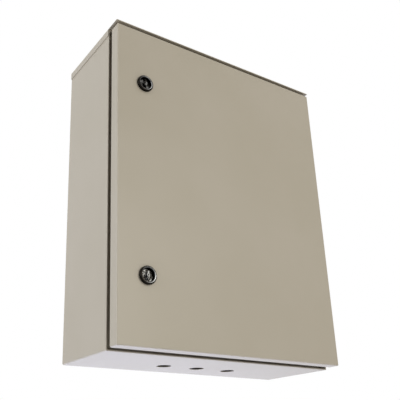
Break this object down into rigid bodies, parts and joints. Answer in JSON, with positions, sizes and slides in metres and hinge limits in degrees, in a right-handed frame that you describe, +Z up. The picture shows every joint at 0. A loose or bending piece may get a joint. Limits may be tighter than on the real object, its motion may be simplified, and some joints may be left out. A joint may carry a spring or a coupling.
{
  "type": "electrical enclosure",
  "caption": "Wall-mounting sheet-steel electrical enclosure with a roof sheet, a hinged door with quarter-turn locks, cable entries in the bottom and a mounting plate inside.",
  "frame": {"origin": "centre of the four wall-fixing holes, on the outer face of the back panel, which is the wall's plane", "axes": "+X right as seen from the front, +Y into the wall, +Z up; the door faces -Y"},
  "size_m": [0.4024, 0.1674, 0.5012],
  "materials": {
    "paint": "fine-textured powder coat",
    "zinc_plate": "bright zinc plating",
    "passivated_zinc": "yellow passivated zinc plating",
    "galvanised": "galvanised sheet",
    "foam": "foamed polyurethane",
    "black_rubber": "smooth",
    "lock_metal": "dark chrome plating"
  },
  "bodies": {
    "case": {"body_shell": "paint", "back_panel": "paint", "roof_sheet": "paint", "hinge_leaf_case_upper": "zinc_plate", "hinge_leaf_case_lower": "zinc_plate", "hinge_pin_upper": "zinc_plate", "hinge_pin_lower": "zinc_plate", "hinge_rivets": "zinc_plate", "mounting_plate": "galvanised", "plate_studs": "zinc_plate", "plate_spacers": "zinc_plate", "plate_washers": "zinc_plate", "plate_nuts": "zinc_plate", "earth_stud_case": "zinc_plate", "earth_washer_case": "zinc_plate", "earth_nut_case": "zinc_plate"},
    "door": {"door_panel": "paint", "door_seal": "foam", "door_rail_left": "paint", "door_rail_right": "paint", "hinge_leaf_door_upper": "zinc_plate", "hinge_leaf_door_lower": "zinc_plate", "hinge_studs": "zinc_plate", "hinge_nuts": "zinc_plate", "lock_housing_upper": "lock_metal", "lock_housing_lower": "lock_metal", "lock_washer_upper": "black_rubber", "lock_washer_lower": "black_rubber", "lock_nut_upper": "zinc_plate", "lock_nut_lower": "zinc_plate", "earth_stud_door": "zinc_plate", "earth_washer_door": "zinc_plate", "earth_nut_door": "zinc_plate"},
    "upper_lock": {"lock_core_upper": "lock_metal", "lock_cam_upper": "passivated_zinc", "cam_screw_upper": "zinc_plate"},
    "lower_lock": {"lock_core_lower": "lock_metal", "lock_cam_lower": "passivated_zinc", "cam_screw_lower": "zinc_plate"}
  },
  "joints": [
    {"name": "door_hinge", "type": "hinge", "parent": "case", "child": "door", "pos_m": [0.1907, -0.1514, 0], "axis": [0, 0, 1], "range_deg": [0, 120]},
    {"name": "upper_lock_turn", "type": "hinge", "parent": "door", "child": "upper_lock", "pos_m": [-0.153, -0.16, 0.15], "axis": [0, 1, 0], "range_deg": [0, 90]},
    {"name": "lower_lock_turn", "type": "hinge", "parent": "door", "child": "lower_lock", "pos_m": [-0.153, -0.16, -0.15], "axis": [0, 1, 0], "range_deg": [0, 90]}
  ]
}
